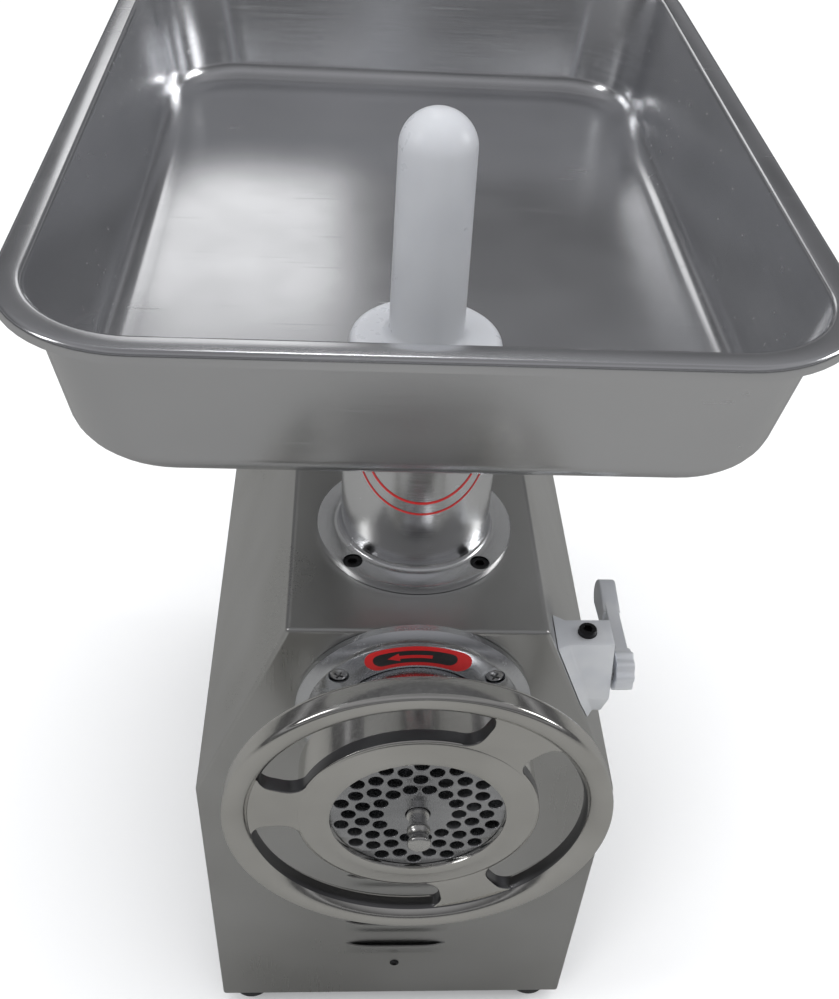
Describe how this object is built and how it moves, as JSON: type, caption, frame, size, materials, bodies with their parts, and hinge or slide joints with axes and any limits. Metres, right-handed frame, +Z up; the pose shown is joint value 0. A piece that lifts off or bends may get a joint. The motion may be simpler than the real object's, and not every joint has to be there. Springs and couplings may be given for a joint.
{
  "type": "electric meat grinder",
  "caption": "Table-top electric meat grinder: steel housing with geared motor, barrel with worm, knife and perforated plate held by a ring handwheel, side clamp, lift-off tray and pusher.",
  "frame": {"origin": "on the table, under the middle of the whole machine's bounding box", "axes": "+Z up; the plate and ring face -Y, towards the operator; +X is the operator's right, where the clamp lever is"},
  "size_m": [0.318, 0.5006, 0.535],
  "materials": {
    "satin_steel": "satin stainless sheet",
    "tray_steel": "brushed stainless sheet",
    "polished_steel": "polished stainless",
    "machined_aluminium": "turned, fine concentric marks",
    "cast_aluminium": "fine cast surface",
    "dark_fastener": "dark, lightly oiled",
    "tool_steel": "ground",
    "gear_steel": "machined, oiled",
    "bearing_steel": "ground and polished",
    "brass": "turned",
    "motor_paint": "satin blue-grey paint",
    "copper_winding": "varnished windings and laminations",
    "black_rubber": "matt",
    "black_plastic": "fine grain",
    "white_plastic": "milky food-grade plastic",
    "green_plastic": "smooth",
    "red_plastic": "smooth",
    "capacitor_shell": "smooth"
  },
  "bodies": {
    "housing": {"base_plate": "satin_steel", "body_shell": "satin_steel", "clamp_block": "cast_aluminium", "clamp_set_screw": "dark_fastener", "cord_gland": "black_plastic", "drive_bearing_front": "bearing_steel", "drive_bearing_rear": "bearing_steel", "feed_flange_screw_1": "dark_fastener", "feed_flange_screw_2": "dark_fastener", "feed_flange_screw_3": "dark_fastener", "feed_flange_screw_4": "dark_fastener", "feed_tube": "machined_aluminium", "foot_front_left": "black_rubber", "foot_front_right": "black_rubber", "foot_rear_left": "black_rubber", "foot_rear_right": "black_rubber", "front_panel_screw": "dark_fastener", "gearbox_case": "cast_aluminium", "gearbox_cover": "cast_aluminium", "head_socket": "machined_aluminium", "idler_bearing_front": "bearing_steel", "idler_bearing_rear": "bearing_steel", "motor_bearing_front": "bearing_steel", "motor_bearing_rear": "bearing_steel", "motor_bracket": "satin_steel", "motor_case": "motor_paint", "motor_end_shield": "cast_aluminium", "motor_stator": "copper_winding", "rear_panel": "satin_steel", "run_capacitor": "capacitor_shell", "shaft_seal": "black_rubber", "socket_screw_1": "dark_fastener", "socket_screw_2": "dark_fastener", "socket_screw_3": "dark_fastener", "socket_screw_4": "dark_fastener", "switch_box": "black_plastic", "switch_plate": "black_plastic"},
    "barrel": {"grinder_barrel": "machined_aluminium"},
    "auger": {"auger": "tool_steel", "auger_washer": "white_plastic", "auger_pin": "polished_steel", "knife": "tool_steel"},
    "plate": {"cutting_plate": "tool_steel"},
    "ring": {"ring_nut": "polished_steel"},
    "drive": {"drive_shaft": "gear_steel", "drive_gear": "gear_steel"},
    "idler": {"idler_gear": "gear_steel", "idler_pinion_shaft": "gear_steel"},
    "rotor": {"motor_rotor": "gear_steel", "motor_shaft": "gear_steel", "motor_pinion": "gear_steel", "motor_fan": "black_plastic"},
    "tray": {"feed_tray": "tray_steel"},
    "pusher": {"pusher": "white_plastic"},
    "clamp_pad": {"clamp_pad": "brass"},
    "lever": {"clamp_screw": "tool_steel", "clamp_lever": "cast_aluminium"},
    "start_button": {"start_button": "green_plastic"},
    "stop_button": {"stop_button": "red_plastic"}
  },
  "joints": [
    {"name": "barrel_slide", "type": "slide", "parent": "housing", "child": "barrel", "axis": [0, -1, 0], "range_m": [0, 0.19]},
    {"name": "auger_turn", "type": "hinge", "parent": "barrel", "child": "auger", "pos_m": [0, -0.1747, 0.289], "axis": [0, -1, 0], "continuous": true},
    {"name": "plate_slide", "type": "slide", "parent": "barrel", "child": "plate", "axis": [0, -1, 0], "range_m": [0, 0.024]},
    {"name": "ring_turn", "type": "hinge", "parent": "plate", "child": "ring", "pos_m": [0, -0.1747, 0.289], "axis": [0, -1, 0], "range_deg": [0, 2880]},
    {"name": "drive_turn", "type": "hinge", "parent": "housing", "child": "drive", "pos_m": [0, -0.1747, 0.289], "axis": [0, -1, 0], "continuous": true},
    {"name": "idler_turn", "type": "hinge", "parent": "housing", "child": "idler", "pos_m": [0, -0.1747, 0.241], "axis": [0, -1, 0], "continuous": true},
    {"name": "rotor_turn", "type": "hinge", "parent": "housing", "child": "rotor", "pos_m": [0, -0.1747, 0.199], "axis": [0, -1, 0], "continuous": true},
    {"name": "tray_lift", "type": "slide", "parent": "housing", "child": "tray", "axis": [0, 0, 1], "range_m": [0, 0.12]},
    {"name": "pusher_lift", "type": "slide", "parent": "tray", "child": "pusher", "axis": [0, 0, 1], "range_m": [0, 0.16]},
    {"name": "pad_slide", "type": "slide", "parent": "housing", "child": "clamp_pad", "axis": [1, 0, 0], "range_m": [0, 0.001]},
    {"name": "lever_turn", "type": "hinge", "parent": "clamp_pad", "child": "lever", "pos_m": [0.0982, -0.1612, 0.301], "axis": [1, 0, 0], "range_deg": [0, 180]},
    {"name": "start_press", "type": "slide", "parent": "housing", "child": "start_button", "axis": [-1, 0, 0], "range_m": [0, 0.003], "stiffness_N_per_m": 600},
    {"name": "stop_press", "type": "slide", "parent": "housing", "child": "stop_button", "axis": [-1, 0, 0], "range_m": [0, 0.003], "stiffness_N_per_m": 600}
  ],
  "couplings": [
    {"joint": "plate_slide", "follows": "ring_turn", "m_per_rad": 0.00047746},
    {"joint": "pad_slide", "follows": "lever_turn", "m_per_rad": 0.00031831},
    {"joint": "idler_turn", "follows": "rotor_turn", "ratio": -0.27273},
    {"joint": "drive_turn", "follows": "rotor_turn", "ratio": 0.1123},
    {"joint": "auger_turn", "follows": "rotor_turn", "ratio": 0.1123}
  ]
}
